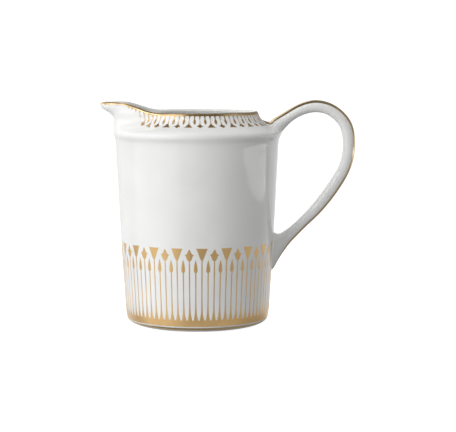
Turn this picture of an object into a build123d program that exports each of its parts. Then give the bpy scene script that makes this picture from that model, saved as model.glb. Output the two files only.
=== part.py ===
"""Porcelain cream jug with gilt friezes.

Frame: millimetres, +Z up. The origin is on the jug's turning axis, in the plane that the foot
stands on. The handle points to +X and the spout to -X, and the XZ plane is the plane of symmetry.
"""
from build123d import *
from math import cos, exp, radians, sin
import os

# ---------------------------------------------------------------- driving dimensions
RIM_RADIUS = 27.6           # outside of the round part of the rim
RIM_HEIGHT = 96.8           # top of the round part of the rim
SPOUT_RISE = 4.3            # how far the rim climbs towards the spout
SPOUT_RISE_START = 17.0     # distance from the axis where the rim starts to climb
SPOUT_RISE_END = 35.0       # and where it is level again
SPOUT_REACH_LOW = 45.0      # degrees either side over which the collar swells into the spout
SPOUT_REACH_MORE = 15.0     # added to that near the rim
SPOUT_REACH_HEIGHT = 93.0   # height where the swelling starts to widen
SPOUT_REACH_RISE = 4.0      # height over which it widens
WALL_THICKNESS = 2.9        # porcelain thickness of the wall
BEAD_RADIUS = 38.2          # outside of the small bead under the collar
SEAT_HEIGHT = 84.2          # where the wall ends and the bead starts
FLOOR_HEIGHT = 6.0          # inside floor of the jug
FOOT_INNER_RADIUS = 25.4    # inside of the foot ring where it stands
FOOT_OUTER_RADIUS = 28.0    # outside of the foot ring where it stands
FOOT_RECESS = 2.6           # depth of the hollow under the floor
FOOT_DRAFT = 1.2            # how far the hollow's side leans in over its depth
FOOT_CURVE = 2.7            # how far the foot swells beyond its standing edge
FOOT_CURVE_HEIGHT = 1.1     # and at what height
FLOOR_RADIUS = 24.5         # where the flat floor ends inside
FLOOR_CORNER = (29.4, 9.4)  # middle of the rounded corner round the floor: (radius, height)
RIM_GOLD = 1.4              # how far the gold comes down from the top of the rim
GOLD = 0.06                 # thickness of the fired gold
SLIP = 0.35                 # thickness of the slip that the handle is stuck on with

MOTIFS = 78                 # stems in one turn of the frieze
BAND_BOTTOM = 3.2           # lower edge of the gold band at the base
BAND_TOP = 5.6              # upper edge, where the stems start
FOOT_LINE_BOTTOM = 1.1      # lower edge of the thin gold line on the foot
FOOT_LINE_TOP = 2.1
BASE_FRIEZE_TURN = 1.0      # the base frieze was laid on this many degrees off the spout
REPEAT = 4                  # fan, bud, fleur, bud
COLLAR_FALL = 5.0           # height over which a collar motif follows the slope of the collar
COLLAR_MOTIFS = 32          # motifs on each side of the collar, counted from the handle
COLLAR_STUBS = [3.0, 1.3, 1.1, 0.9]     # lengths of the stem roots that follow them to the spout
COLLAR_STEM = 0.2           # half width of a collar stem
BEAD_TOP = 88.0             # a height below the collar frieze
ROOT_BOTTOM = 24.6          # the base frieze stops short of the handle's lower root: from this height
ROOT_TOP = 42.6             # up to this one
ROOT_CLEARANCE = 7.2        # within this distance of the plane of symmetry
ROOT_DEPTH = 10.0           # depth of the block that trims it there
HANDLE_ZONE = 155.0         # motifs past this angle from the spout may meet the handle
SPOUT_ZONE = 57.0           # motifs nearer than this to the spout lie on its flare
RIM_TURNS = [*range(13), *range(14, 66, 2), *range(66, 181, 3)]     # sections of the gold rim, degrees
STENCIL_RADIUS = 34.5       # where the base motifs' stencils stand
STENCIL_DEPTH = 3.0         # and how far they reach either side
SMALLEST = 0.005            # a scrap of gold smaller than this is left out, in cubic millimetres
NARROWEST = 0.03            # half width of a motif's point
WALK = 0.1                  # step along the rim, in degrees
DESCENT = 0.02              # step down the collar
SETTLE = 12                 # rounds that find the height of the sloping rim

PITCH = 360 / MOTIFS

# outside of the wall from the foot up: (radius, height)
WALL = [(32.3, 3.0), (32.75, 6.0), (33.1, 10.7), (33.6, 19.0), (34.2, 28.0), (34.85, 38.0),
        (35.5, 49.5), (36.05, 60.5), (36.5, 70.0), (36.95, 79.0), (37.3, SEAT_HEIGHT)]
# bead, shoulder and round part of the collar: (radius, height)
COLLAR = [(37.05, 83.6), (37.45, 84.6), (37.75, 85.5), (38.1, 86.3), (BEAD_RADIUS, 87.1), (38.0, 87.8),
          (37.5, 88.4), (36.4, 89.1), (34.9, 89.75), (33.3, 90.4), (31.8, 91.1), (30.5, 91.9),
          (29.5, 92.9), (28.7, 94.0), (28.05, 95.3), (RIM_RADIUS, 96.8), (27.45, 98.4),
          (27.45, 100.0), (27.45, 101.6)]
# keel of the spout, straight under its middle: (distance from the axis, height)
KEEL = [(37.05, 83.6), (38.0, 88.2), (37.9, 90.0), (37.75, 92.0), (37.6, 93.0), (37.3, 94.5),
        (36.9, 96.0), (36.5, 98.0), (36.3, 101.6)]
# how far the curled lip reaches past the keel: (distance, height)
CURL = [(0.0, 92.6), (0.35, 93.6), (1.2, 94.6), (2.5, 95.7), (4.2, 96.8), (6.1, 97.8), (7.4, 98.8),
        (7.7, 99.8), (7.5, 101.6)]
# the same three curves for the inside of the jug
INNER_COLLAR = [(33.8, 82.4), (34.8, 85.0), (34.3, 86.8), (32.7, 88.0), (30.6, 88.9), (28.9, 90.0),
                (27.6, 91.4), (26.7, 93.0), (26.0, 94.8), (25.4, 96.8), (25.2, 99.0), (25.2, 102.0)]
INNER_KEEL = [(33.8, 82.4), (34.8, 85.0), (34.8, 87.0), (34.8, 90.0), (34.7, 93.0), (34.5, 96.0),
              (34.3, 99.0), (34.2, 102.0)]
INNER_CURL = [(0.0, 93.6), (0.8, 95.2), (2.2, 97.0), (4.2, 98.8), (6.2, 100.2), (7.6, 101.2),
              (8.6, 102.0)]
LIP_HALF_ANGLE = 8.6        # degrees either side of the spout where the curled lip fades out
INNER_LIP_HALF_ANGLE = 7.2
LIP_SHARPNESS = 2.4         # 2 is a soft bell, and more gives the lip straighter sides

# handle sections from the collar round to the foot of the loop, each as its inner edge (x, z), its
# outer edge (x, z) and half its width
HANDLE = [((30.0, 76.5), (27.0, 94.2), 10.0), ((36.1, 79.6), (30.4, 92.6), 9.4),
          ((36.9, 82.6), (32.6, 92.0), 8.4), ((37.5, 85.0), (34.4, 93.1), 7.2),
          ((38.9, 87.5), (36.7, 94.6), 6.0), ((41.9, 90.9), (39.6, 96.3), 4.9),
          ((46.4, 94.2), (44.6, 99.2), 4.0),
          ((54.2, 96.3), (54.4, 101.8), 3.6), ((58.4, 95.5), (60.6, 100.5), 3.5),
          ((62.0, 93.3), (66.1, 97.0), 3.4), ((64.8, 90.0), (70.1, 92.0), 3.4),
          ((66.3, 84.8), (72.0, 85.4), 3.4), ((66.4, 79.0), (72.0, 78.4), 3.4),
          ((65.0, 72.6), (70.3, 71.0), 3.35), ((62.0, 67.0), (66.7, 63.9), 3.3),
          ((57.2, 60.0), (61.2, 56.0), 3.3), ((51.3, 52.6), (55.0, 48.9), 3.3),
          ((45.9, 47.0), (49.2, 43.4), 3.4), ((41.7, 43.3), (44.9, 39.0), 3.7),
          ((39.0, 41.5), (42.0, 35.8), 4.3), ((37.0, 40.7), (39.4, 32.2), 4.9),
          ((35.7, 41.2), (37.0, 28.5), 5.5), ((34.6, 42.2), (34.9, 24.8), 6.0),
          ((30.5, 42.5), (30.5, 24.2), 6.4)]
# the handle's cross-section on one side: (place from the inner edge, -1, to the ridge, 1; width)
HANDLE_SHAPE = [(1.0, 0.0), (0.96, 0.27), (0.84, 0.53), (0.62, 0.77), (0.3, 0.94), (-0.05, 1.0),
                (-0.4, 0.96), (-0.72, 0.79), (-0.93, 0.45), (-1.0, 0.0)]
HANDLE_GILT_DEPTH = 1.0     # how far the gold comes down each side of the ridge
GILT_STEPS = (0.0, 0.07, 0.2, 0.4, 0.7, 1.0)      # where the gold's section has points, ridge to edge

# outlines of the motifs: (half width, distance from the frieze's root line), root first
BASE_ROOT = [(1.30, 0.0), (0.98, 0.5), (0.76, 1.4), (0.58, 2.4), (0.44, 3.4), (0.36, 4.6)]
BASE_FAN = BASE_ROOT + [(0.28, 18.0), (0.26, 27.0), (0.75, 27.8), (1.15, 28.8), (1.75, 30.7), (2.6, 32.4)]
BASE_FLEUR = BASE_ROOT + [(0.28, 18.0), (0.26, 26.6), (0.9, 27.5), (1.5, 29.0), (2.15, 29.55), (1.0, 30.3),
                          (0.55, 31.3), (0.0, 32.0)]
BASE_BUD = BASE_ROOT + [(0.28, 18.0), (0.26, 21.6), (0.7, 22.2), (0.85, 23.6), (0.6, 25.2), (0.0, 27.2)]
COLLAR_HEAD = (1.08, -1.0)  # a root is cut from a little above the edge of the gold rim
COLLAR_ROOT = [(1.08, 0.0), (0.6, 0.25), (0.36, 0.6), (0.24, 1.1)]
COLLAR_FAN = COLLAR_ROOT + [(0.2, 4.0), (0.55, 4.7), (1.0, 5.6), (1.75, 6.6)]
COLLAR_FLEUR = COLLAR_ROOT + [(0.2, 4.2), (0.5, 4.8), (1.3, 5.6), (0.45, 6.2), (0.0, 6.9)]
COLLAR_BUD = COLLAR_ROOT + [(0.2, 1.4), (0.5, 2.8), (0.42, 3.6), (0.0, 4.2)]

SECTION_POINTS = 72         # points round one level of the collar
CLIMB_STEPS = 8             # pieces of the rim's climb to the spout
INNER_WALL_START = 3        # the inner wall follows the outer one from this point of WALL up
FOOT_TANGENTS = [(1, 0, 0.25), (0.16, 0, 1)]
CORNER_TANGENTS = [(1, 0, 0), (0.06, 0, 1)]
BLOCK = 60.0                # half size of the cutting blocks, larger than the jug


# ---------------------------------------------------------------- curves
def along(curve, height):
    """Value of a (value, height) curve, smooth between its points (Catmull-Rom by height)."""
    values = [point[0] for point in curve]
    heights = [point[1] for point in curve]
    if height <= heights[0]:
        return values[0]
    if height >= heights[-1]:
        return values[-1]
    i = max(k for k in range(len(curve) - 1) if heights[k] <= height)

    def slope(k):
        low, high = max(k - 1, 0), min(k + 1, len(curve) - 1)
        return (values[high] - values[low]) / (heights[high] - heights[low])

    span = heights[i + 1] - heights[i]
    t = (height - heights[i]) / span
    return ((2 * t**3 - 3 * t**2 + 1) * values[i] + (t**3 - 2 * t**2 + t) * span * slope(i)
            + (3 * t**2 - 2 * t**3) * values[i + 1] + (t**3 - t**2) * span * slope(i + 1))


def smooth_step(t):
    t = min(max(t, 0.0), 1.0)
    return t * t * (3 - 2 * t)


def rim_top(x):
    """Height of the rim at a place along the spout axis."""
    climb = (-x - SPOUT_RISE_START) / (SPOUT_RISE_END - SPOUT_RISE_START)
    return RIM_HEIGHT + SPOUT_RISE * smooth_step(climb)


def radius_at(angle, height, collar, keel, curl, lip_half_angle):
    """Distance from the axis at an angle from the spout (degrees) and a height."""
    turn = abs((angle + 180) % 360 - 180)
    round_part = along(collar, height)
    reach = SPOUT_REACH_LOW + SPOUT_REACH_MORE * smooth_step((height - SPOUT_REACH_HEIGHT) / SPOUT_REACH_RISE)
    swell = cos(radians(90 * turn / reach)) ** 2 if turn < reach else 0.0
    lip = exp(-((turn / lip_half_angle) ** LIP_SHARPNESS))
    return round_part + (along(keel, height) - round_part) * swell + along(curl, height) * lip


def outer_radius(angle, height, grow=0):
    return radius_at(angle, height, COLLAR, KEEL, CURL, LIP_HALF_ANGLE) + grow


def inner_radius(angle, height, grow=0):
    return radius_at(angle, height, INNER_COLLAR, INNER_KEEL, INNER_CURL, INNER_LIP_HALF_ANGLE) + grow


def place(angle, radius, height):
    """Point at an angle from the spout (degrees, seen from above, towards -Y first)."""
    return Vector(-radius * cos(radians(angle)), -radius * sin(radians(angle)), height)


# ---------------------------------------------------------------- body
def ring(radius, height, grow):
    points = []
    for k in range(SECTION_POINTS):
        angle = 360 * k / SECTION_POINTS
        points.append(place(angle, radius(angle, height, grow), height))
    return Wire([Edge.make_spline(points, periodic=True)])


def collar_block(radius, curve, grow):
    return Solid.make_loft([ring(radius, height, grow) for _, height in curve])


def revolved(*edges):
    return revolve(make_face(Wire(edges)), Axis.Z)


def wall_block(grow):
    """Foot and wall as one turned solid, without the hollows."""
    spline = Spline([(r + grow, 0, z) for r, z in WALL])
    foot = Spline([(FOOT_OUTER_RADIUS + grow, 0, 0),
                   (FOOT_OUTER_RADIUS + FOOT_CURVE + grow, 0, FOOT_CURVE_HEIGHT),
                   (WALL[0][0] + grow, 0, WALL[0][1])], tangents=FOOT_TANGENTS)
    return revolved(
        Line((0, 0, 0), (FOOT_OUTER_RADIUS + grow, 0, 0)), foot, spline,
        Line((WALL[-1][0] + grow, 0, SEAT_HEIGHT), (0, 0, SEAT_HEIGHT)),
        Line((0, 0, SEAT_HEIGHT), (0, 0, 0)))


def outside_block(grow):
    return wall_block(grow) + collar_block(outer_radius, COLLAR, grow)


def hollow_block():
    """The inside of the jug, as a solid."""
    inner_wall = [(r - WALL_THICKNESS, 0, z) for r, z in WALL[INNER_WALL_START:]]
    floor_edge = (FLOOR_RADIUS, 0, FLOOR_HEIGHT)
    corner = Spline([floor_edge, (FLOOR_CORNER[0], 0, FLOOR_CORNER[1]), inner_wall[0]],
                    tangents=CORNER_TANGENTS)
    low = revolved(
        Line((0, 0, FLOOR_HEIGHT), floor_edge), corner, Spline(inner_wall),
        Line(inner_wall[-1], (0, 0, SEAT_HEIGHT)), Line((0, 0, SEAT_HEIGHT), (0, 0, FLOOR_HEIGHT)))
    return low + collar_block(inner_radius, INNER_COLLAR, 0)


def above_rim():
    """Everything above the rim's side profile, as a block to cut with."""
    step = (SPOUT_RISE_END - SPOUT_RISE_START) / CLIMB_STEPS
    xs = [-SPOUT_RISE_END + step * k for k in range(CLIMB_STEPS + 1)]
    climb = Spline([(x, 0, rim_top(x)) for x in xs], tangents=[(1, 0, 0), (1, 0, 0)])
    peak = RIM_HEIGHT + SPOUT_RISE
    outline = Wire([
        Line((-BLOCK, 0, peak), (xs[0], 0, peak)), climb,
        Line((xs[-1], 0, RIM_HEIGHT), (BLOCK, 0, RIM_HEIGHT)),
        Line((BLOCK, 0, RIM_HEIGHT), (BLOCK, 0, 2 * BLOCK)),
        Line((BLOCK, 0, 2 * BLOCK), (-BLOCK, 0, 2 * BLOCK)),
        Line((-BLOCK, 0, 2 * BLOCK), (-BLOCK, 0, peak))])
    return extrude(make_face(outline), amount=BLOCK, dir=(0, 1, 0), both=True)


def foot_hollow():
    top = (FOOT_INNER_RADIUS - FOOT_DRAFT, 0, FOOT_RECESS)
    return revolved(Line((0, 0, 0), (FOOT_INNER_RADIUS, 0, 0)), Line((FOOT_INNER_RADIUS, 0, 0), top),
                    Line(top, (0, 0, FOOT_RECESS)), Line((0, 0, FOOT_RECESS), (0, 0, 0)))


# ---------------------------------------------------------------- handle
def handle_frame(section):
    """Middle of a section, and the vector from its inner edge to its ridge."""
    inner, outer, _ = section
    middle = Vector((inner[0] + outer[0]) / 2, 0, (inner[1] + outer[1]) / 2)
    return middle, Vector(outer[0] - inner[0], 0, outer[1] - inner[1])


def handle_block():
    wires = []
    for section in HANDLE:
        middle, across = handle_frame(section)
        side = [middle + across * (a / 2) + Vector(0, v * section[2], 0) for a, v in HANDLE_SHAPE]
        other = [Vector(p.X, -p.Y, p.Z) for p in side[-2:0:-1]]
        wires.append(Wire([Edge.make_spline(side + other, periodic=True)]))
    return Solid.make_loft(wires)


def ridge_gilding():
    """Gold over the handle's ridge, sunk by its own thickness into the handle's back."""
    wires = []
    back = [(width, 1 - a) for a, width in HANDLE_SHAPE]
    for section in HANDLE:
        middle, across = handle_frame(section)
        half, out = across.length / 2, across.normalized()
        falls = [HANDLE_GILT_DEPTH * step / half for step in GILT_STEPS]
        crown = [(1 - fall, along(back, fall)) for fall in falls]
        skin = []
        for grow, points in ((GOLD, crown), (-GOLD, crown[::-1])):
            skin += [(a * (half + grow), v * (section[2] + grow)) for a, v in points]
        right = [middle + out * a + Vector(0, v, 0) for a, v in skin]
        left = [Vector(p.X, -p.Y, p.Z) for p in right[-2:0:-1]]
        wires.append(Wire.make_polygon(right + left))
    return Solid.make_loft(wires)


# ---------------------------------------------------------------- friezes
def slab(low, high):
    return Pos(0, 0, low) * Cylinder(BLOCK, high - low, align=(Align.CENTER, Align.CENTER, Align.MIN))


def turned_skin(curve, inner, outer):
    """Thin turned layer that follows a (radius, height) curve."""
    (first, low), (last, high) = curve[0], curve[-1]
    return revolved(
        Spline([(r + inner, 0, z) for r, z in curve]),
        Line((last + inner, 0, high), (last + outer, 0, high)),
        Spline([(r + outer, 0, z) for r, z in curve[::-1]]),
        Line((first + outer, 0, low), (first + inner, 0, low)))


def stencil(outline, root, up):
    """A motif as a prism that stands through the surface on the +X side, root at the given point."""
    tangent = Vector(0, 1, 0)
    plane = Plane(origin=root, x_dir=tangent, z_dir=tangent.cross(up))
    left = [(-half, reach) for half, reach in reversed(outline) if half > 0]
    face = make_face(Polyline(*outline, *left, close=True))
    return extrude(plane * face, amount=STENCIL_DEPTH, both=True)


def repeated(motif, turns, obstacle):
    """Copies of a motif at angles from the spout, trimmed where the handle stands."""
    pieces = []
    for turn in turns:
        piece = Rot(0, 0, turn - 180) * motif
        if abs(turn) > HANDLE_ZONE:
            piece = piece - obstacle
        pieces += [solid for solid in piece.solids() if solid.volume > SMALLEST]
    return pieces


def rim_edge(turn, radius):
    """Height of the rim at an angle from the spout, for its outside or its inside."""
    height = RIM_HEIGHT
    for _ in range(SETTLE):
        height = rim_top(place(turn, radius(turn, height), height).X)
    return height


def on_collar(turn, drop, grow):
    """Point of the collar a certain height below the gold rim."""
    height = rim_edge(turn, outer_radius) - RIM_GOLD - drop
    return place(turn, outer_radius(turn, height, grow), height)


def collar_drop(turn, reach):
    """Height below the gold rim after going down the collar's slope for a distance."""
    drop, walked = 0.0, 0.0
    while walked < reach:
        walked += (on_collar(turn, drop, 0) - on_collar(turn, drop + DESCENT, 0)).length
        drop += DESCENT
    return drop


def draped_motif(outline, turn):
    """A motif near the spout, laid on the collar row by row because the surface isn't turned there."""
    rows = []
    for half, reach in outline:
        drop = collar_drop(turn, reach)
        radius = outer_radius(turn, RIM_HEIGHT - drop)
        spread = max(half, NARROWEST) / radians(radius)
        right, left = on_collar(turn - spread, drop, 0), on_collar(turn + spread, drop, 0)
        out = place(turn, GOLD, 0)
        rows.append(Wire.make_polygon([right + out, left + out, left - out, right - out]))
    return Solid.make_loft(rows, ruled=True)


def rim_section(turn):
    """Section of the gold up to the lip's crest, sunk by its own thickness into the porcelain."""
    out_top, in_top = rim_edge(turn, outer_radius), rim_edge(turn, inner_radius)
    points = []
    for skin in (GOLD, -GOLD):
        side = [place(turn, outer_radius(turn, out_top - drop, skin), out_top - drop)
                for drop in (RIM_GOLD, RIM_GOLD / 2)]
        crest = (outer_radius(turn, out_top) + inner_radius(turn, in_top)) / 2
        side += [place(turn, outer_radius(turn, out_top, skin), out_top + skin),
                 place(turn, crest, (out_top + in_top) / 2 + skin)]
        points += side if skin > 0 else side[::-1]
    return Wire.make_polygon(points)


def collar_turns():
    """Angles from the spout that space the collar frieze evenly along the rim, handle first."""
    step = RIM_RADIUS * radians(PITCH)
    turn, walked = 180.0, 0.0
    last = place(turn, RIM_RADIUS, RIM_HEIGHT)
    turns = [turn]
    while len(turns) < COLLAR_MOTIFS + len(COLLAR_STUBS):
        turn -= WALK
        here = place(turn, outer_radius(turn, RIM_HEIGHT), RIM_HEIGHT)
        walked += (here - last).length
        last = here
        if walked >= step:
            walked -= step
            turns.append(turn)
    return turns


# ---------------------------------------------------------------- build
def keep(name, shape):
    """Writes one node: a solid, or a group of separate solids."""
    solids = shape if isinstance(shape, list) else list(shape.solids())
    result = solids[0] if len(solids) == 1 else Compound(children=solids)
    result.label = name
    export_step(result, f"parts/{name}.step")


os.makedirs("parts", exist_ok=True)

outside = outside_block(0)
keep("body", outside - hollow_block() - above_rim() - foot_hollow())

slipped = outside_block(SLIP)
handle_raw = handle_block()
keep("handle", handle_raw - slipped)
slip_joints = ((handle_raw & slipped) - outside).solids().sort_by(Axis.Z)
keep("lower_slip_joint", slip_joints[0])
keep("upper_slip_joint", slip_joints[-1])
keep("handle_gilding", ridge_gilding() - slipped)

half_rim = Solid.make_loft([rim_section(turn) for turn in RIM_TURNS], ruled=True)
keep("rim_gilding", half_rim + mirror(half_rim, Plane.XZ))

wall_skin = turned_skin(WALL, 0, GOLD)
foot_skin = wall_block(GOLD) - wall_block(0)
keep("foot_gilding", foot_skin & slab(FOOT_LINE_BOTTOM, FOOT_LINE_TOP))
keep("base_band", wall_skin & slab(BAND_BOTTOM, BAND_TOP))

root_block = Pos(WALL[0][0], 0, ROOT_BOTTOM) * Box(
    ROOT_DEPTH, 2 * ROOT_CLEARANCE, ROOT_TOP - ROOT_BOTTOM, align=(Align.MIN, Align.CENTER, Align.MIN))
numbers = range(1 - MOTIFS // 2, MOTIFS // 2 + 1)
for name, outline, places in (("base_fans", BASE_FAN, (0,)), ("base_fleurs", BASE_FLEUR, (2,)),
                              ("base_buds", BASE_BUD, (1, 3))):
    motif = stencil(outline, (STENCIL_RADIUS, 0, BAND_TOP), Vector(0, 0, 1)) & wall_skin
    angles = [number * PITCH + BASE_FRIEZE_TURN for number in numbers if abs(number) % REPEAT in places]
    keep(name, repeated(motif, angles, root_block))

collar_skin = (turned_skin(COLLAR, -GOLD, GOLD)
               & slab(BEAD_TOP, RIM_HEIGHT - RIM_GOLD))
turns = collar_turns()
collar_root = on_collar(180, 0, 0)
collar_up = (on_collar(180, COLLAR_FALL, 0) - collar_root).normalized()
for name, outline, places in (("collar_fans", COLLAR_FAN, (1,)), ("collar_fleurs", COLLAR_FLEUR, (3,)),
                              ("collar_buds", COLLAR_BUD, (0, 2))):
    motif = stencil([COLLAR_HEAD] + outline, collar_root, collar_up) & collar_skin
    chosen = [turn for number, turn in enumerate(turns[:COLLAR_MOTIFS]) if number % REPEAT in places]
    chosen += [-turn for turn in chosen if turn < 180]
    pieces = repeated(motif, [turn for turn in chosen if abs(turn) > SPOUT_ZONE], handle_raw)
    pieces += [draped_motif(outline, turn) for turn in chosen if abs(turn) <= SPOUT_ZONE]
    keep(name, pieces)
keep("collar_stubs", [draped_motif(COLLAR_ROOT + [(COLLAR_STEM, length)], side * turn)
                      for turn, length in zip(turns[COLLAR_MOTIFS:], COLLAR_STUBS) for side in (1, -1)])
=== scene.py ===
"""Porcelain cream jug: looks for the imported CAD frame. Lengths are in millimetres until a mesh is made."""
import math

import bmesh
import bpy
import numpy as np
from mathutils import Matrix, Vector

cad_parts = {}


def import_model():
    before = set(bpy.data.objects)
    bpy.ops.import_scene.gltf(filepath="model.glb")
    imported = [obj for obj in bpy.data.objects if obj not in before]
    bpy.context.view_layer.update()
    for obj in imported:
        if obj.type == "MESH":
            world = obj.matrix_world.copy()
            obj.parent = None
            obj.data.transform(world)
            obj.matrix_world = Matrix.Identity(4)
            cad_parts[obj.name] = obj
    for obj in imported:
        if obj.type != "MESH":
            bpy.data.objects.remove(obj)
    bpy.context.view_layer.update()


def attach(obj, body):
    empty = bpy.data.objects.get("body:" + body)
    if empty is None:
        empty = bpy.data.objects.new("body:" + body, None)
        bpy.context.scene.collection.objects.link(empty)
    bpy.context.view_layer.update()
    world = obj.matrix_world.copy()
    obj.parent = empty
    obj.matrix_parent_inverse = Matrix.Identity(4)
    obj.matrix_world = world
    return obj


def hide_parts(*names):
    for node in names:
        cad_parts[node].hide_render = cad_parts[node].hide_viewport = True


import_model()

MM = 0.001

# ---------------------------------------------------------------- shape of the jug
RIM_RADIUS, RIM_HEIGHT = 27.6, 96.8
# the rim climbs to the spout between two distances from the axis
SPOUT_RISE, SPOUT_RISE_START, SPOUT_RISE_END = 4.3, 17.0, 35.0
# the spout's swelling spans this angle each way, and more of it from a height up
SPOUT_REACH_LOW, SPOUT_REACH_MORE, SPOUT_REACH_HEIGHT, SPOUT_REACH_RISE = 45.0, 15.0, 93.0, 4.0
LIP_HALF_ANGLE, INNER_LIP_HALF_ANGLE, LIP_SHARPNESS = 8.6, 7.2, 2.4
LIP_DEPTH = 1.1             # the rounded lip starts this far below its top
LIP_FULLNESS = 0.55         # how far the lip's curve follows its end tangents
LIP_ROWS = 20
WALL_START = 3.0            # the foot's curve ends and the wall starts
BEAD_START = 83.2           # the wall ends and the bead starts
COLLAR_INSIDE = 84.0        # the same place on the inside

# foot: its profile (radius, height) with the direction at each point, and the underside
FOOT = [(28.0, 0.0), (30.7, 1.1), (32.3, WALL_START)]
FOOT_DIRECTIONS = [(1, 0.25), (0.82, 0.57), (0.12, 1)]
FOOT_RECESS, RECESS_RADIUS, FOOT_INNER_RADIUS = 2.6, 24.2, 25.4
FLOOR_HEIGHT, FLOOR_RADIUS = 6.0, 24.5
FLOOR_CORNER = [(30.7, 19.0), (30.1, 9.0), (29.6, FLOOR_HEIGHT), (FLOOR_RADIUS, FLOOR_HEIGHT)]

# gilding
GOLD = 0.05                 # how far the fired gold stands out, and how deep its hidden side lies
RIM_GOLD_ROWS = 12          # rows of the lip that the gold covers, from the outside
HANDLE_GILT_DEPTH = 1.1     # how far the gold comes round from the ridge of the handle's back
BAND_BOTTOM, BAND_TOP = 2.85, 5.6                   # the matte band that the base frieze stands on
FOOT_LINE_BOTTOM, FOOT_LINE_TOP = 0.9, 2.25

# friezes
BASE_MOTIFS = 78
PITCH = 360 / BASE_MOTIFS
BASE_FRIEZE_TURN = 1.0      # degrees that the frieze's first fan stands beside the spout's middle
REPEAT = 4                  # fan, bud, fleur, bud
COLLAR_START = 0.9          # the collar's stems start this far below the rim
COLLAR_MOTIFS = 32
COLLAR_STUBS = [3.0, 1.3, 1.1, 0.9]                 # lengths of the stem roots beside the spout
SHORT_STUB = 1.2            # a stub no longer than this is only its root
BAND_OVERLAP = 0.05         # how far the base frieze starts below the top of the band
POINT_WIDTH = 0.02          # half width of a motif's sharp point
ROOT_STEP, STEM_STEP, HEAD_STEP = 0.4, 1.6, 0.3     # distances between the rows of a motif
ROOT_LENGTH, STEM_LENGTH = 6, 8                     # a run longer than the second has a long stem
SLOPE_STEP = 0.02           # small step for slopes, in degrees or millimetres

# outside of the wall, the bead, the shoulder and the round part of the collar: (radius, height)
ROUND = [(32.3, 3.0), (32.75, 6.0), (33.1, 10.7), (33.6, 19.0), (34.2, 28.0), (34.85, 38.0),
         (35.5, 49.5), (36.05, 60.5), (36.5, 70.0), (36.95, 79.0), (37.2, 83.2), (37.34, 84.0),
         (37.76, 85.1), (38.1, 85.95), (38.2, 86.7), (38.03, 87.45), (37.55, 88.15), (36.45, 89.0),
         (34.9, 89.75), (33.3, 90.4), (31.8, 91.1), (30.5, 91.9), (29.5, 92.9), (28.7, 94.0),
         (28.05, 95.3), (27.6, 96.8), (27.45, 98.4), (27.45, 100.0), (27.45, 101.6)]
# the same under the middle of the spout, and how much further the curled lip reaches
KEEL = [(37.2, 83.2), (37.34, 84.2), (37.7, 85.6), (38.0, 87.0), (38.0, 88.2), (37.9, 90.0),
        (37.75, 92.0), (37.6, 93.0), (37.3, 94.5), (36.9, 96.0), (36.5, 98.0), (36.3, 101.6)]
CURL = [(0.0, 92.0), (0.05, 92.8), (0.35, 93.6), (1.2, 94.6), (2.5, 95.7), (4.2, 96.8), (6.1, 97.8),
        (7.4, 98.8), (7.7, 99.8), (7.5, 101.6)]
INNER_ROUND = [(30.7, 19.0), (31.3, 28.0), (31.95, 38.0), (32.6, 49.5), (33.15, 60.5), (33.6, 70.0),
               (34.05, 79.0), (34.35, 83.0), (34.6, 85.0), (34.2, 86.8), (32.7, 88.0), (30.6, 88.9),
               (28.9, 90.0), (27.6, 91.4), (26.7, 93.0), (26.0, 94.8), (25.4, 96.8), (25.2, 99.0),
               (25.2, 102.0)]
INNER_KEEL = [(34.35, 83.0), (34.7, 85.0), (34.8, 87.0), (34.8, 90.0), (34.7, 93.0), (34.5, 96.0),
              (34.3, 99.0), (34.2, 102.0)]
INNER_CURL = [(0.0, 92.8), (0.05, 93.6), (0.8, 95.2), (2.2, 97.0), (4.2, 98.8), (6.2, 100.2), (7.6, 101.2),
              (8.6, 102.0)]

# handle sections from the collar to the wall: inner edge (x, z), outer edge (x, z), half width
HANDLE = [((30.0, 76.5), (27.0, 94.2), 10.0), ((36.1, 79.6), (30.4, 92.6), 9.4),
          ((36.9, 82.6), (32.6, 92.0), 8.4), ((37.5, 85.0), (34.4, 93.1), 7.2),
          ((38.9, 87.5), (36.7, 94.6), 6.0), ((41.9, 90.9), (39.6, 96.3), 4.9),
          ((46.4, 94.2), (44.6, 99.2), 4.0),
          ((54.2, 96.3), (54.4, 101.8), 3.6), ((58.4, 95.5), (60.6, 100.5), 3.5),
          ((62.0, 93.3), (66.1, 97.0), 3.4), ((64.8, 90.0), (70.1, 92.0), 3.4),
          ((66.3, 84.8), (72.0, 85.4), 3.4), ((66.4, 79.0), (72.0, 78.4), 3.4),
          ((65.0, 72.6), (70.3, 71.0), 3.35), ((62.0, 67.0), (66.7, 63.9), 3.3),
          ((57.2, 60.0), (61.2, 56.0), 3.3), ((51.3, 52.6), (55.0, 48.9), 3.3),
          ((45.9, 47.0), (49.2, 43.4), 3.4), ((41.7, 43.3), (44.9, 39.0), 3.7),
          ((39.0, 41.5), (42.0, 35.8), 4.3), ((37.0, 40.7), (39.4, 32.2), 4.9),
          ((35.7, 41.2), (37.0, 28.5), 5.5), ((34.6, 42.2), (34.9, 24.8), 6.0),
          ((30.5, 42.5), (30.5, 24.2), 6.4)]
# half of the handle's section: (1 at the outer edge to -1 at the inner edge, fraction of the half width)
HANDLE_SHAPE = [(1.0, 0.0), (0.96, 0.27), (0.84, 0.53), (0.62, 0.77), (0.3, 0.94), (-0.05, 1.0),
                (-0.4, 0.96), (-0.72, 0.79), (-0.93, 0.45), (-1.0, 0.0)]
BURIED = 1.2                # how far the handle's ends lie inside the wall
FILLET_SIZE = 1.6

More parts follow.
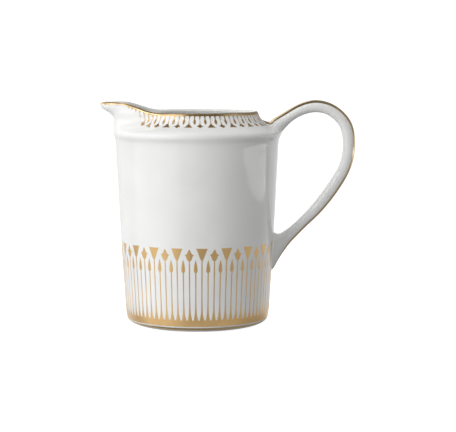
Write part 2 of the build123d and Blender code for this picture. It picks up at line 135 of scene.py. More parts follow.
# outlines of the motifs, as runs that meet in a corner: (half width, distance from the root line)
BASE_ROOT = [(1.31, 0.0), (0.98, 0.5), (0.76, 1.4), (0.58, 2.4), (0.44, 3.4), (0.36, 4.6)]
BASE_FAN = [BASE_ROOT + [(0.28, 18.0), (0.26, 26.9)],
            [(0.26, 26.9), (0.62, 27.5), (1.1, 28.6), (1.85, 30.6), (2.55, 32.3), (2.6, 32.4)]]
BASE_FLEUR = [BASE_ROOT + [(0.28, 18.0), (0.26, 26.6)],
              [(0.26, 26.6), (0.9, 27.3), (1.4, 28.4), (1.6, 29.1)], [(1.6, 29.1), (2.15, 29.5)],
              [(2.15, 29.5), (1.35, 29.85), (0.85, 30.5), (0.5, 31.3), (0.02, 32.1)]]
BASE_BUD = [BASE_ROOT + [(0.28, 18.0), (0.26, 21.5)],
            [(0.26, 21.5), (0.62, 21.9), (0.85, 23.0), (0.72, 24.5), (0.4, 26.0), (0.02, 27.4)]]
COLLAR_ROOT = [(1.08, 0.0), (0.6, 0.25), (0.36, 0.6), (0.24, 1.1)]
COLLAR_FAN = [COLLAR_ROOT + [(0.2, 4.2)], [(0.2, 4.2), (0.75, 5.0), (1.25, 5.9), (2.0, 7.0)]]
COLLAR_FLEUR = [COLLAR_ROOT + [(0.2, 4.4)], [(0.2, 4.4), (0.6, 4.9), (1.05, 5.5), (1.55, 5.9)],
                [(1.55, 5.9), (1.0, 6.3), (0.55, 6.8), (0.02, 7.4)]]
COLLAR_BUD = [COLLAR_ROOT + [(0.2, 1.6)], [(0.2, 1.6), (0.58, 2.7), (0.55, 3.6), (0.02, 4.7)]]
# section of a motif, closed: (fraction of the half width, fraction of the gold's thickness)
ACROSS = [(-1.0, 0.0), (-0.93, 0.75), (-0.75, 1.0), (0.0, 1.0), (0.75, 1.0), (0.93, 0.75), (1.0, 0.0),
          (0.9, -1.0), (-0.9, -1.0)]


# ---------------------------------------------------------------- curves
def cubic(points):
    """Smooth (C2) function of the second column through (value, place) points."""
    y = np.array([p[0] for p in points], float)
    x = np.array([p[1] for p in points], float)
    n, h = len(x), np.diff(x)
    a, b = np.zeros((n, n)), np.zeros(n)
    a[0, 0] = a[-1, -1] = 1
    for i in range(1, n - 1):
        a[i, i - 1:i + 2] = h[i - 1], 2 * (h[i - 1] + h[i]), h[i]
        b[i] = 6 * ((y[i + 1] - y[i]) / h[i] - (y[i] - y[i - 1]) / h[i - 1])
    m = np.linalg.solve(a, b)

    def value(at):
        at = np.clip(np.asarray(at, float), x[0], x[-1])
        i = np.clip(np.searchsorted(x, at) - 1, 0, n - 2)
        w, s, t = h[i], x[i + 1] - at, at - x[i]
        return (m[i] * s**3 + m[i + 1] * t**3) / (6 * w) + (y[i] / w - m[i] * w / 6) * s + (
            y[i + 1] / w - m[i + 1] * w / 6) * t
    return value


def bezier(a, b, c, d, t):
    return (1 - t)**3 * a + 3 * (1 - t)**2 * t * b + 3 * (1 - t) * t * t * c + t**3 * d


def hermite(a, b, a_direction, b_direction, t):
    return ((2 * t**3 - 3 * t**2 + 1) * a + (t**3 - 2 * t**2 + t) * a_direction
            + (3 * t**2 - 2 * t**3) * b + (t**3 - t**2) * b_direction)


def smooth_step(t):
    t = np.clip(t, 0, 1)
    return t * t * (3 - 2 * t)


def unit(v):
    return v / np.maximum(np.linalg.norm(v, axis=-1, keepdims=True), 1e-12)


def walked_along(points):
    """Distance walked from the first point to each point."""
    return np.concatenate([[0], np.cumsum(np.linalg.norm(np.diff(points, axis=0), axis=1))])


# ---------------------------------------------------------------- places on the jug
def rim_top(x):
    climb = (-x - SPOUT_RISE_START) / (SPOUT_RISE_END - SPOUT_RISE_START)
    return RIM_HEIGHT + SPOUT_RISE * smooth_step(climb)


def turn_from_spout(angle):
    return np.abs((np.asarray(angle, float) + 180) % 360 - 180)


def radius_function(round_part, keel, curl, lip_half_angle):
    """Radius at an angle and height: the round part swells to the keel, and the lip curls out."""
    round_part, keel, curl = cubic(round_part), cubic(keel), cubic(curl)

    def radius(angle, height):
        turn = turn_from_spout(angle)
        widening = smooth_step((height - SPOUT_REACH_HEIGHT) / SPOUT_REACH_RISE)
        reach = SPOUT_REACH_LOW + SPOUT_REACH_MORE * widening
        swell = np.where(turn < reach, np.cos(np.radians(90 * np.minimum(turn / reach, 1))) ** 2, 0)
        swell = swell * (height > BEAD_START)
        lip = np.exp(-((turn / lip_half_angle) ** LIP_SHARPNESS))
        base = round_part(height)
        return base + (keel(height) - base) * swell + curl(height) * lip
    return radius


outer_radius = radius_function(ROUND, KEEL, CURL, LIP_HALF_ANGLE)
inner_radius = radius_function(INNER_ROUND, INNER_KEEL, INNER_CURL, INNER_LIP_HALF_ANGLE)


def place(angle, radius, height):
    """Point at an angle from the spout (degrees, seen from above, towards -Y first)."""
    a = np.radians(angle)
    radius, height = np.broadcast_arrays(radius, height)
    return np.stack(np.broadcast_arrays(-radius * np.cos(a), -radius * np.sin(a), height), -1)


def angle_of(p):
    return np.degrees(np.arctan2(-p[..., 1], -p[..., 0]))


def on_outside(angle, height):
    return place(angle, outer_radius(angle, height), height)


def on_inside(angle, height):
    return place(angle, inner_radius(angle, height), height)


def outward_normal(angle, height, e):
    """Normal of the outside, from the differences over a small step e each way."""
    across = on_outside(angle + e, height) - on_outside(angle - e, height)
    up = on_outside(angle, height + e) - on_outside(angle, height - e)
    normal = unit(np.cross(across, up))
    away = normal * on_outside(angle, height) * (1, 1, 0)
    return normal * np.sign(away.sum(-1, keepdims=True))


def rim_edge(angle, radius):
    """Height of the rim at an angle: it depends on how far out the rim is there."""
    height = np.full(np.shape(angle), RIM_HEIGHT)
    for _ in range(14):
        height = rim_top(place(angle, radius(angle, height), height)[..., 0])
    return height


TABLE_ANGLES = np.arange(0, 180.01, 0.1)
TABLE_EDGE = rim_edge(TABLE_ANGLES, outer_radius)


def outer_edge(angle):
    """Height of the rim at an angle, read from a table."""
    return np.interp(turn_from_spout(angle), TABLE_ANGLES, TABLE_EDGE)


def turns_around():
    """Angles round the jug, closer together at the spout."""
    half = list(np.arange(0, 20, 0.4)) + list(np.arange(20, 62, 0.75)) + list(np.arange(62, 180, 1.25))
    return np.array(half + [180.0] + [360 - a for a in half[:0:-1]])


ANGLES = turns_around()


# ---------------------------------------------------------------- meshes
def turn_outward(mesh):
    """Turns the faces of each closed shell so that they look out of it."""
    shells = bmesh.new()
    shells.from_mesh(mesh)
    bmesh.ops.recalc_face_normals(shells, faces=shells.faces)
    shells.to_mesh(mesh)
    shells.free()


def add_mesh(name, verts, faces, material, node, sharp=None):
    """Visible piece, in metres, that stands for one node of the frame."""
    mesh = bpy.data.meshes.new(name)
    mesh.from_pydata((np.asarray(verts, float) * MM).tolist(), [], faces)
    mesh.validate()
    turn_outward(mesh)
    for polygon in mesh.polygons:
        polygon.use_smooth = True
    if sharp is not None:
        mesh.set_sharp_from_angle(angle=math.radians(sharp))
    piece = bpy.data.objects.new(name, mesh)
    bpy.context.scene.collection.objects.link(piece)
    mesh.materials.append(material)
    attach(piece, "root")
    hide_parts(node)


def quads(rows, columns, start=0, ring=False):
    """Quads of a grid stored row by row and closed round its columns, in a ring also round its rows."""
    faces = []
    for r in range(rows if ring else rows - 1):
        here, beyond = start + r * columns, start + (r + 1) % rows * columns
        for c in range(columns):
            d = (c + 1) % columns
            faces.append((here + c, here + d, beyond + d, beyond + c))
    return faces


def tube(points, start=0):
    """Closed tube from a (rows, columns, 3) array: points and faces, with both ends capped."""
    rows, columns = points.shape[:2]
    faces = quads(rows, columns, start)
    faces.append(tuple(start + c for c in range(columns))[::-1])
    faces.append(tuple(start + (rows - 1) * columns + c for c in range(columns)))
    return points.reshape(-1, 3), faces


def gold_ring(name, outside, hidden, material, node):
    """Ring of gold round the jug: its outside rows and the rows of its hidden side, in the same order."""
    loop = np.concatenate([outside, hidden[::-1]])
    faces = quads(*loop.shape[:2], ring=True)
    add_mesh(name, loop.reshape(-1, 3), faces, material, node, 50)


# ---------------------------------------------------------------- body, rim and foot
def lip_points(lift=0.0):
    """Rows over the lip from outside to inside, lifted off it by a distance."""
    out_top, in_top = rim_edge(ANGLES, outer_radius), rim_edge(ANGLES, inner_radius)
    out_z, in_z = out_top - LIP_DEPTH, in_top - LIP_DEPTH
    out_p, in_p = on_outside(ANGLES, out_z), on_inside(ANGLES, in_z)
    out_t = LIP_FULLNESS * LIP_DEPTH * unit(out_p - on_outside(ANGLES, out_z - 0.3))
    in_t = LIP_FULLNESS * LIP_DEPTH * unit(in_p - on_inside(ANGLES, in_z - 0.3))
    top = (out_p + in_p) / 2
    top[..., 2] = (out_top + in_top) / 2
    over = unit(in_p - out_p)
    over[..., 2] = 0
    over *= LIP_FULLNESS * np.linalg.norm(in_p - out_p, axis=-1, keepdims=True) / 2
    half = LIP_ROWS // 2
    rows = [bezier(out_p, out_p + out_t, top - over, top, t) for t in np.linspace(0, 1, half, endpoint=False)]
    rows += [bezier(top, top + over, in_p + in_t, in_p, t) for t in np.linspace(0, 1, half + 1)]
    rows = np.array(rows)
    if lift:
        along = np.gradient(rows, axis=0)
        around = np.roll(rows, -1, axis=1) - np.roll(rows, 1, axis=1)
        rows = rows + lift * unit(np.cross(around, along))
    return rows


def foot_curve(lift=0.0, low=0.0, high=WALL_START, count=14):
    """Outside of the foot, (radius, height), from its standing edge up to the wall."""
    points, directions = np.array(FOOT), unit(np.array(FOOT_DIRECTIONS))
    curve = []
    for i in range(2):
        span = np.linalg.norm(points[i + 1] - points[i])
        for t in np.linspace(0, 1, 30, endpoint=(i == 1)):
            start, end = span * directions[i], span * directions[i + 1]
            curve.append(hermite(points[i], points[i + 1], start, end, t))
    curve = np.array(curve)
    side = unit(np.gradient(curve, axis=0))
    curve = curve + lift * np.stack([side[:, 1], -side[:, 0]], -1)
    z = np.linspace(low, high, count)
    return np.stack([np.interp(z, curve[:, 1], curve[:, 0]), z], -1)


def corner(a, b, c, radius, count=6):
    """Points that round the corner b between a and c."""
    a, b, c = (np.array(p, float) for p in (a, b, c))
    p, q = b + unit(a - b) * radius, b + unit(c - b) * radius
    return [tuple((1 - t)**2 * p + 2 * (1 - t) * t * b + t * t * q) for t in np.linspace(0, 1, count)]


def level_rings(profile):
    return [place(ANGLES, r, z) for r, z in profile]


def body_rows():
    """Rings of the body, from under the foot up the outside, over the lip and down to the floor."""
    recess, inner_foot = (RECESS_RADIUS, FOOT_RECESS), (FOOT_INNER_RADIUS, 0)
    under = [(r, FOOT_RECESS) for r in (3, 8, 13, 18, 21)]
    under += corner((20, FOOT_RECESS), recess, inner_foot, 0.9)
    under += corner(recess, inner_foot, FOOT[0], 0.45)
    under += [(26.3, 0.0), (27.1, 0.0), (27.7, 0.0)]
    rows = level_rings(under)
    rows += level_rings(foot_curve(count=16)[:-1])
    wall = [*np.linspace(WALL_START, 80.0, 34), *np.linspace(81, BEAD_START, 4)]
    rows += [on_outside(ANGLES, z) for z in wall]
    climb = rim_edge(ANGLES, outer_radius) - LIP_DEPTH - BEAD_START
    rows += [on_outside(ANGLES, BEAD_START + s * climb) for s in np.linspace(0, 1, 52)[1:-1]]
    rows += list(lip_points())
    climb = rim_edge(ANGLES, inner_radius) - LIP_DEPTH - COLLAR_INSIDE
    rows += [on_inside(ANGLES, COLLAR_INSIDE + s * climb) for s in np.linspace(1, 0, 44)[1:]]
    rows += [on_inside(ANGLES, z) for z in np.linspace(82.5, FLOOR_CORNER[0][1], 24)]
    bend = [np.array(p) for p in FLOOR_CORNER]
    rows += level_rings([bezier(*bend, t) for t in np.linspace(0, 1, 14)[1:]])
    rows += level_rings([(r, FLOOR_HEIGHT) for r in (18, 12, 7, 3)])
    return np.array(rows)


def make_body(material):
    rows = body_rows()
    count, columns = rows.shape[:2]
    middle_below, middle_above = count * columns, count * columns + 1
    verts = np.vstack([rows.reshape(-1, 3), [(0, 0, FOOT_RECESS), (0, 0, FLOOR_HEIGHT)]])
    faces = quads(count, columns)
    last = (count - 1) * columns
    for c in range(columns):
        d = (c + 1) % columns
        faces.append((middle_below, d, c))
        faces.append((middle_above, last + c, last + d))
    add_mesh("porcelain_body", verts, faces, material, "body")


def make_rim_gold(material):
    outside, hidden = (lip_points(lift)[:RIM_GOLD_ROWS] for lift in (GOLD, -GOLD))
    gold_ring("rim_gold", outside, hidden, material, "rim_gilding")


def make_bands(matte, bright):
    z = np.linspace(WALL_START + 0.2, BAND_TOP, 7)
    r = outer_radius(90, z)
    outside, hidden = (level_rings([*foot_curve(lift, BAND_BOTTOM, WALL_START, 2), *zip(r + lift, z)])
                       for lift in (GOLD, -GOLD))
    gold_ring("base_gold_band", outside, hidden, matte, "base_band")
    outside, hidden = (level_rings(foot_curve(lift, FOOT_LINE_BOTTOM, FOOT_LINE_TOP, 6))
                       for lift in (GOLD, -GOLD))
    gold_ring("foot_gold_line", outside, hidden, bright, "foot_gilding")


# ---------------------------------------------------------------- handle
def handle_curve():
    """Handle sections as smooth functions of the distance along the loop."""
    sections = np.array([[*inner, *outer, half] for inner, outer, half in HANDLE])
    distance = walked_along((sections[:, :2] + sections[:, 2:4]) / 2)
    return [cubic(list(zip(sections[:, k], distance))) for k in range(5)], distance[-1]


def handle_outline(count):
    """Cross-section, closed: (place from the inner edge to the ridge, fraction of the half width)."""
    half = np.array(HANDLE_SHAPE)
    loop = np.vstack([half, half[-2:0:-1] * (1, -1)])
    n = len(loop)
    distance = walked_along(np.vstack([loop, loop[:1]]))
    total = distance[-1]
    wrapped = np.vstack([loop[-4:], loop, loop[:5]])
    s = np.concatenate([distance[n - 4:n] - total, distance[:n], distance[:5] + total])
    across, wide = cubic(list(zip(wrapped[:, 0], s))), cubic(list(zip(wrapped[:, 1], s)))
    at = np.linspace(0, total, count, endpoint=False)
    return np.stack([across(at), wide(at)], -1)


HANDLE_FUNCTIONS, HANDLE_LENGTH = handle_curve()
OUTLINE = handle_outline(64)


def handle_point(s, outline=OUTLINE):
    """Points of the handle at distance s along it: one for each point of the outline of its section."""
    inner_x, inner_z, outer_x, outer_z, half_width = (f(s) for f in HANDLE_FUNCTIONS)
    a, v = outline[:, 0], outline[:, 1]
    x = (inner_x + outer_x) / 2 + (outer_x - inner_x) / 2 * a
    z = (inner_z + outer_z) / 2 + (outer_z - inner_z) / 2 * a
    return np.stack(np.broadcast_arrays(x, half_width * v, z), -1)


def outside_body(p):
    """How far a point is outside the body's surface, measured level."""
    return np.hypot(p[..., 0], p[..., 1]) - outer_radius(angle_of(p), p[..., 2])


def crossing(low, high, rising):
    """Distance along the handle at which each line of its outline leaves the body."""
    s = np.linspace(low, high, 400)
    out = np.array([outside_body(handle_point(at)) for at in s])
    found = []
    for line in out.T:
        inside = np.nonzero(line < 0)[0]
        k = inside[-1] if rising else inside[0] - 1
        k = min(max(k, 0), len(s) - 2)
        found.append(s[k] + (s[1] - s[0]) * line[k] / (line[k] - line[k + 1]))
    return np.array(found)


UPPER = crossing(0, HANDLE_LENGTH * 0.45, True)
LOWER = crossing(HANDLE_LENGTH * 0.55, HANDLE_LENGTH, False)


def make_handle(material):
    first, last = UPPER - BURIED, LOWER + BURIED
    rows = [handle_point(first + (last - first) * t) for t in np.linspace(0, 1, 200)]
    verts, faces = tube(np.array(rows))
    add_mesh("porcelain_handle", verts, faces, material, "handle", 60)


def fillet(name, ends, step, node, material):
    """Slip smoothed into the corner between the handle and the body, all round one root."""
    seam = handle_point(ends)
    reach = FILLET_SIZE * (0.75 + 0.25 * np.abs(OUTLINE[:, 1]))
    on_handle = handle_point(ends + step * reach)
    normal = outward_normal(angle_of(seam), seam[:, 2], 0.05)
    tangent = unit(np.roll(seam, -1, axis=0) - np.roll(seam, 1, axis=0))
    away = unit(np.cross(normal, tangent))
    away *= np.sign((away * (seam - seam.mean(0))).sum(-1, keepdims=True))
    spread = seam + away * reach[:, None]
    on_wall = on_outside(angle_of(spread), spread[:, 2]) + normal * 0.01
    rows = [(1 - t)**2 * on_wall + 2 * t * (1 - t) * seam + t * t * on_handle for t in np.linspace(0, 1, 12)]
    rows.append(on_handle * 0.5 + seam * 0.5 - normal * 0.3)
    rows.append(seam - normal * 0.8)
    rows.append(on_wall - normal * 0.5)
    rows = np.array(rows)
    faces = quads(*rows.shape[:2], ring=True)
    add_mesh(name, rows.reshape(-1, 3), faces, material, node, 40)


def make_handle_gold(material):
    """Gold over the ridge: a strip that wraps the handle's back and stands a little proud of it."""
    s = np.linspace(UPPER.min() - 1, LOWER.max() + 1, 260)
    inner_x, inner_z, outer_x, outer_z, _ = (f(s) for f in HANDLE_FUNCTIONS)
    edge = 1 - HANDLE_GILT_DEPTH / (np.hypot(outer_x - inner_x, outer_z - inner_z) / 2)
    fine = handle_outline(720)[:361]
    middle = np.zeros((1, 2))
    rows = []
    for k in range(len(s)):
        last = int(np.argmax(fine[:, 0] < edge[k]))
        line = fine[np.linspace(last, 0, 12).astype(int)]
        line = np.vstack([line, line[-2::-1] * (1, -1)])
        p = handle_point(s[k], line)
        normal = unit(np.cross(unit(np.gradient(p, axis=0)), handle_point(s[k] + 0.1, line) - p))
        normal *= np.sign((normal * (p - handle_point(s[k], middle))).sum(-1, keepdims=True))
        rows.append(np.vstack([p + normal * GOLD, (p - normal * GOLD)[::-1]]))
    verts, faces = tube(np.array(rows))
    add_mesh("handle_gold", verts, faces, material, "handle_gilding", 50)


# ---------------------------------------------------------------- friezes
def row_marks(low, high):
    """Distances at which a run gets a row: close together in a head and at a long stem's root."""
    has_stem = high - low > STEM_LENGTH
    marks = [low]
    while marks[-1] < high - 1e-6:
        step = HEAD_STEP if not has_stem else ROOT_STEP if marks[-1] < ROOT_LENGTH else STEM_STEP
        marks.append(min(high, marks[-1] + step))
    return marks


def motif_rows(runs):
    """Outline rows (half width, reach) along the runs of a motif: curved ones have four points or more."""
    rows = []
    for run in runs:
        marks = row_marks(run[0][1], run[-1][1])
        widths, reaches = zip(*run)
        halves = cubic(run)(marks) if len(run) > 3 else np.interp(marks, reaches, widths)
        rows += list(zip(np.maximum(halves, POINT_WIDTH), marks))[1 if rows else 0:]
    return rows


def motif_mesh(surface, rows):
    """Motif laid on a surface, which maps (distance across, reach) to a point and its normal."""
    fractions, heights = np.array(ACROSS).T
    grid = []
    for half, reach in rows:
        point, normal = surface(fractions * half, reach)
        grid.append(point + normal * GOLD * heights[:, None])
    return np.array(grid)


def wall_surface(turn):
    """The wall above the gold band at one angle: reach is measured straight up."""
    def surface(u, reach):
        z = BAND_TOP - BAND_OVERLAP + reach
        r = outer_radius(90.0, z)
        angle = turn + np.degrees(u / r)
        return place(angle, r, z), place(angle, 1.0, 0.0)
    return surface


def collar_surface(turn):
    """The collar below the gold rim at one angle: reach is measured down its slope."""
    def at(angle, drop):
        return on_outside(angle, outer_edge(angle) - COLLAR_START - drop)

    drops = np.linspace(-0.3, 11, 160)
    walked = walked_along(at(np.full(160, turn), drops))
    walked -= np.interp(0, drops, walked)

    def surface(u, reach):
        drop, e = np.interp(reach, walked, drops), SLOPE_STEP
        spots = at(np.array([turn - e, turn + e, turn, turn]), np.array([drop, drop, drop, drop + e]))
        across, down = spots[1] - spots[0], unit(spots[3] - spots[2])
        level = across - down * (across @ down)
        angle = turn + u * 2 * e / np.linalg.norm(level)
        p = at(angle, drop)
        return p, outward_normal(angle, p[:, 2], e)
    return surface


def collar_turns():
    """Angles of the collar's motifs from the handle round to the spout, one pitch apart along the rim."""
    pitch = RIM_RADIUS * math.radians(PITCH)
    angles = np.arange(180, 15, -0.05)
    walked = walked_along(on_outside(angles, RIM_HEIGHT))
    return [float(np.interp(pitch * k, walked, angles)) for k in range(COLLAR_MOTIFS + len(COLLAR_STUBS))]


def add_motifs(name, surfaces, runs, node, material):
    rows = motif_rows(runs)
    add_grids(name, [motif_mesh(surface, rows) for surface in surfaces], node, material)


def add_grids(name, grids, node, material):
    verts, faces = [], []
    for grid in grids:
        v, f = tube(grid, len(verts))
        verts.extend(v.tolist())
        faces.extend(f)
    add_mesh(name, verts, faces, material, node, 60)


def make_friezes(material):
    """Base frieze all round the foot; collar frieze from the handle to the spout, on both sides."""
    half = BASE_MOTIFS // 2
    for name, runs, places, node in (("base_lotus_fans", BASE_FAN, (0,), "base_fans"),
                                     ("base_lotus_fleurs", BASE_FLEUR, (2,), "base_fleurs"),
                                     ("base_lotus_buds", BASE_BUD, (1, 3), "base_buds")):
        numbers = [n for n in range(1 - half, half + 1) if abs(n) % REPEAT in places]
        add_motifs(name, [wall_surface(n * PITCH + BASE_FRIEZE_TURN) for n in numbers], runs, node, material)
    turns = collar_turns()
    for name, runs, places, node in (("collar_lotus_fans", COLLAR_FAN, (1,), "collar_fans"),
                                     ("collar_lotus_fleurs", COLLAR_FLEUR, (3,), "collar_fleurs"),
                                     ("collar_lotus_buds", COLLAR_BUD, (0, 2), "collar_buds")):
        # the first one would lie under the handle's root
        chosen = [t for k, t in enumerate(turns[:COLLAR_MOTIFS]) if k and k % REPEAT in places]
        add_motifs(name, [collar_surface(side * t) for t in chosen for side in (1, -1)], runs, node, material)
    stubs = []
    for turn, length in zip(turns[COLLAR_MOTIFS:], COLLAR_STUBS):
        short = length <= SHORT_STUB
        run = COLLAR_ROOT[:3] + [(0.15, length)] if short else COLLAR_ROOT + [(0.2, length)]
        stubs += [motif_mesh(collar_surface(side * turn), motif_rows([run])) for side in (1, -1)]
    add_grids("collar_stem_stubs", stubs, "collar_stubs", material)


# ---------------------------------------------------------------- materials
GLAZE_DARK, GLAZE_LIGHT = (0.80, 0.805, 0.79), (0.835, 0.84, 0.83)
BISCUIT = (0.72, 0.68, 0.6, 1)              # the unglazed edge that the foot stands on
BISCUIT_TOP, GLAZE_BOTTOM = 0.0002, 0.0004  # heights between which it turns into glaze, in metres
GLAZE_ROUGHNESS, BISCUIT_ROUGHNESS, GLAZE_IOR = 0.07, 0.7, 1.52


def new_material(name):
    m = bpy.data.materials.new(name)
    m.use_nodes = True
    nodes = m.node_tree.nodes
    return m, nodes, m.node_tree.links, nodes["Principled BSDF"]


def noise(nodes, links, coords, scale, detail=3.0):
    n = nodes.new("ShaderNodeTexNoise")
    n.inputs["Scale"].default_value = scale
    n.inputs["Detail"].default_value = detail
    links.new(coords.outputs["Object"], n.inputs["Vector"])
    return n.outputs["Fac"]


def tone_between(nodes, links, source, dark, light):
    """Colour that goes from dark to light over the middle of a noise's range."""
    r = nodes.new("ShaderNodeValToRGB")
    for element, at, colour in zip(r.color_ramp.elements, (0.3, 0.7), (dark, light)):
        element.position = at
        element.color = (*colour, 1)
    links.new(source, r.inputs["Fac"])
    return r.outputs["Color"]


def map_range(nodes, links, source, low, high, to_low, to_high, smooth=False):
    r = nodes.new("ShaderNodeMapRange")
    r.interpolation_type = "SMOOTHSTEP" if smooth else "LINEAR"
    for socket, value in (("From Min", low), ("From Max", high), ("To Min", to_low), ("To Max", to_high)):
        r.inputs[socket].default_value = value
    links.new(source, r.inputs["Value"])
    return r.outputs[0]


def bump(nodes, links, heights, strength, distance):
    b = nodes.new("ShaderNodeBump")
    b.inputs["Strength"].default_value = strength
    b.inputs["Distance"].default_value = distance
    links.new(heights, b.inputs["Height"])
    return b


def porcelain(name):
    """White glaze with a slight unevenness, and a bare, rougher edge that the foot stands on."""
    m, nodes, links, shader = new_material(name)
    coords = nodes.new("ShaderNodeTexCoord")
    waves, specks = noise(nodes, links, coords, 55, 2), noise(nodes, links, coords, 900, 1)
    split = nodes.new("ShaderNodeSeparateXYZ")
    links.new(coords.outputs["Object"], split.inputs[0])
    bare = map_range(nodes, links, split.outputs["Z"], BISCUIT_TOP, GLAZE_BOTTOM, 1, 0)
    mix = nodes.new("ShaderNodeMixRGB")
    links.new(bare, mix.inputs["Fac"])
    links.new(tone_between(nodes, links, waves, GLAZE_DARK, GLAZE_LIGHT), mix.inputs["Color1"])
    mix.inputs["Color2"].default_value = BISCUIT
    links.new(mix.outputs[0], shader.inputs["Base Color"])
    rough = map_range(nodes, links, bare, 0, 1, GLAZE_ROUGHNESS, BISCUIT_ROUGHNESS)
    links.new(rough, shader.inputs["Roughness"])
    shader.inputs["IOR"].default_value = GLAZE_IOR
    swell, grain = bump(nodes, links, waves, 0.25, 0.00006), bump(nodes, links, specks, 0.06, 0.00001)
    links.new(swell.outputs[0], grain.inputs["Normal"])
    links.new(grain.outputs[0], shader.inputs["Normal"])
    return m


def gold(name, light, dark, roughness, grain, grain_scale, glaze_over=0.0):
    """Fired gold: cloudy in tone, grainy in gloss, and with glaze over it where it is a print."""
    m, nodes, links, shader = new_material(name)
    coords = nodes.new("ShaderNodeTexCoord")
    cloud, fine = noise(nodes, links, coords, 160, 4), noise(nodes, links, coords, grain_scale, 2)
    links.new(tone_between(nodes, links, cloud, dark, light), shader.inputs["Base Color"])
    shader.inputs["Metallic"].default_value = 1.0
    shader.inputs["Coat Weight"].default_value = glaze_over
    shader.inputs["Coat Roughness"].default_value = 0.25
    rough = map_range(nodes, links, fine, 0, 1, roughness * 0.8, roughness * 1.25)
    links.new(rough, shader.inputs["Roughness"])
    links.new(bump(nodes, links, fine, grain, 0.00002).outputs[0], shader.inputs["Normal"])
    return m


# ---------------------------------------------------------------- build
glaze = porcelain("glazed_porcelain")
slip = porcelain("glazed_slip")
bright = gold("burnished_gold", (0.80, 0.60, 0.34), (0.72, 0.53, 0.28), 0.2, 0.1, 700)
matte = gold("matte_gold_print", (0.81, 0.54, 0.235), (0.75, 0.485, 0.2), 0.4, 0.35, 2600, 0.7)

make_body(glaze)
make_handle(glaze)
fillet("upper_slip_fillet", UPPER, 1, "upper_slip_joint", slip)
fillet("lower_slip_fillet", LOWER, -1, "lower_slip_joint", slip)
make_rim_gold(bright)
make_handle_gold(bright)
make_bands(matte, bright)
make_friezes(matte)


# ---------------------------------------------------------------- studio, in metres
JUG_CENTRE = (0.01, 0, 0.06)
AIM_HEIGHT = 0.065          # the directions of the cards are taken from this height on the jug's axis
FLOOR_SWEEP = [(0.001, 0), (0.2, 0), (0.5, 0), (1.2, 0), (2.2, 0), (2.6, 0.03), (2.9, 0.15), (3.1, 0.4),
               (3.2, 0.8), (3.2, 2.6)]
FLOOR_GLOW = 0.85
CAMERA_LENS, CAMERA_PLACE = 130.26, (0, -0.7524, 0.12505)
CAMERA_DOWN, CAMERA_RIGHT = 5.782, 1.07     # degrees


def stage_piece(name, verts, faces, material, shader, radiance):
    """Part of the studio that gives off an even white light and has no gloss."""
    mesh = bpy.data.meshes.new(name)
    mesh.from_pydata(verts, [], faces)
    mesh.materials.append(material)
    piece = bpy.data.objects.new(name, mesh)
    bpy.context.scene.collection.objects.link(piece)
    shader.inputs["Specular IOR Level"].default_value = 0.0
    shader.inputs["Emission Color"].default_value = (1, 1, 1, 1)
    shader.inputs["Emission Strength"].default_value = radiance
    piece.visible_diffuse = False
    return piece


def floor():
    """White paper that sweeps up all round; it doesn't show in reflections."""
    a = np.radians(np.arange(0, 360, 5))
    rings = np.array([np.stack([r * np.cos(a), r * np.sin(a), np.full(len(a), z)], -1)
                      for r, z in FLOOR_SWEEP])
    faces = quads(*rings.shape[:2])
    faces.append(tuple(range(len(a)))[::-1])
    m, nodes, links, shader = new_material("floor_paper")
    grain = noise(nodes, links, nodes.new("ShaderNodeTexCoord"), 300, 2)
    tone = tone_between(nodes, links, grain, (0.5, 0.5, 0.5), (0.52, 0.52, 0.52))
    links.new(tone, shader.inputs["Base Color"])
    shader.inputs["Roughness"].default_value = 0.9
    piece = stage_piece("studio_floor", rings.reshape(-1, 3).tolist(), faces, m, shader, FLOOR_GLOW)
    piece.visible_glossy = False


def softbox(name, location, width, height, power):
    data = bpy.data.lights.new(name, "AREA")
    data.shape = "RECTANGLE"
    data.size, data.size_y = width, height
    data.energy = power
    lamp = bpy.data.objects.new(name, data)
    bpy.context.scene.collection.objects.link(lamp)
    lamp.location = location
    lamp.rotation_euler = (Vector(JUG_CENTRE) - Vector(location)).to_track_quat("-Z", "Y").to_euler()
    lamp.visible_glossy = False


def glow(name, corners, radiance):
    """A card seen only in reflections: it lights nothing and casts no shadow."""
    m, _, _, shader = new_material(name)
    shader.inputs["Base Color"].default_value = (0, 0, 0, 1)
    shader.inputs["Roughness"].default_value = 1.0
    piece = stage_piece(name, corners, [tuple(range(len(corners)))], m, shader, radiance)
    piece.visible_camera = piece.visible_shadow = piece.visible_transmission = False


def aimed(azimuth, elevation, distance):
    """A point seen from the jug in the given direction: azimuth from the front, to the right."""
    a, e = math.radians(azimuth), math.radians(elevation)
    return (distance * math.sin(a) * math.cos(e), -distance * math.cos(a) * math.cos(e),
            AIM_HEIGHT + distance * math.sin(e))


def patch(name, directions, distance, radiance):
    glow(name, [aimed(a, e, distance) for a, e in directions], radiance)


def upright_card(name, left, right, distance, low, high, radiance):
    """An upright flat card between two azimuths."""
    (x0, y0, _), (x1, y1, _) = aimed(left, 0, distance), aimed(right, 0, distance)
    glow(name, [(x0, y0, low), (x1, y1, low), (x1, y1, high), (x0, y0, high)], radiance)


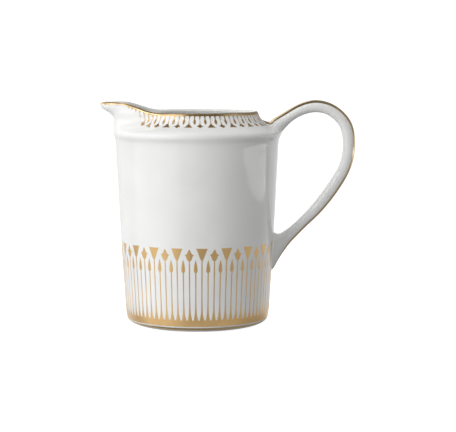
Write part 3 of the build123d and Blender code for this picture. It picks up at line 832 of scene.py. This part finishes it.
def world():
    """Surroundings that are lighter behind the jug than in front, and darker from below."""
    w = bpy.data.worlds.new("studio")
    bpy.context.scene.world = w
    w.use_nodes = True
    nodes, links = w.node_tree.nodes, w.node_tree.links
    split = nodes.new("ShaderNodeSeparateXYZ")
    links.new(nodes.new("ShaderNodeTexCoord").outputs["Generated"], split.inputs[0])
    both = nodes.new("ShaderNodeMath")
    both.operation = "MULTIPLY"
    links.new(map_range(nodes, links, split.outputs["Y"], 0.2, 0.75, 0.5, 0.95, True), both.inputs[0])
    links.new(map_range(nodes, links, split.outputs["Z"], -0.6, -0.17, 0.5, 1.0, True), both.inputs[1])
    links.new(both.outputs[0], nodes["Background"].inputs["Color"])
    nodes["Background"].inputs["Strength"].default_value = 1.0


def camera():
    data = bpy.data.cameras.new("camera")
    data.lens = CAMERA_LENS
    data.sensor_width = 36
    data.clip_start, data.clip_end = 0.01, 50
    piece = bpy.data.objects.new("camera", data)
    bpy.context.scene.collection.objects.link(piece)
    piece.location = CAMERA_PLACE
    piece.rotation_euler = (math.radians(90 - CAMERA_DOWN), 0, math.radians(-CAMERA_RIGHT))
    bpy.context.scene.camera = piece


floor()
world()
softbox("key_window", (-0.75, -0.6, 0.2), 0.6, 0.7, 7.6)
softbox("overhead", (-0.05, 0.0, 0.9), 0.6, 0.6, 1.9)

# the light panel that the left of the wall reflects, and the low bright card at the right
upright_card("window_panel", -100, -24.5, 0.9, -0.5, 0.05, 1.05)
glow("reflector", [(0.5, y, z) for y, z in [(-0.229, 0.003), (-0.166, -0.007), (-0.052, -0.011),
                                            (0.071, -0.0155), (0.174, -0.013), (0.274, -0.005),
                                            (0.222, 0.022), (0.22, 0.027), (-0.205, 0.027)]], 2.0)
# dark cards behind, in front and overhead that give the gold and the shoulder their contrast
patch("flag_high", [(178, 3), (105, 3), (95, 60), (178, 60)], 1.2, 0.25)
patch("flag_low", [(178, -14), (105, -14), (100, -70), (178, -70)], 1.2, 0.3)
patch("flag_front", [(-32, 3), (60, 3), (60, 55), (-32, 55)], 1.1, 0.12)
glow("flag_overhead", [(-0.7, -0.25, 0.95), (0.7, -0.25, 0.95), (0.7, 1.0, 0.95), (-0.7, 1.0, 0.95)], 0.15)
# lights on the shoulder, the collar and the spout, and the pale table in front
patch("glint", [(-38, 22), (-70, 20), (-70, 31), (-38, 33)], 0.8, 6.0)
patch("high_window", [(-30, 36), (-85, 36), (-85, 62), (-30, 62)], 0.85, 1.3)
patch("side_window", [(-74, 10), (-125, 8), (-125, 30), (-74, 34)], 0.85, 1.6)
patch("floor_bounce", [(-24, -14), (75, -14), (75, -60), (-24, -60)], 0.7, 0.58)

camera()
bpy.context.scene.view_settings.view_transform = "Standard"
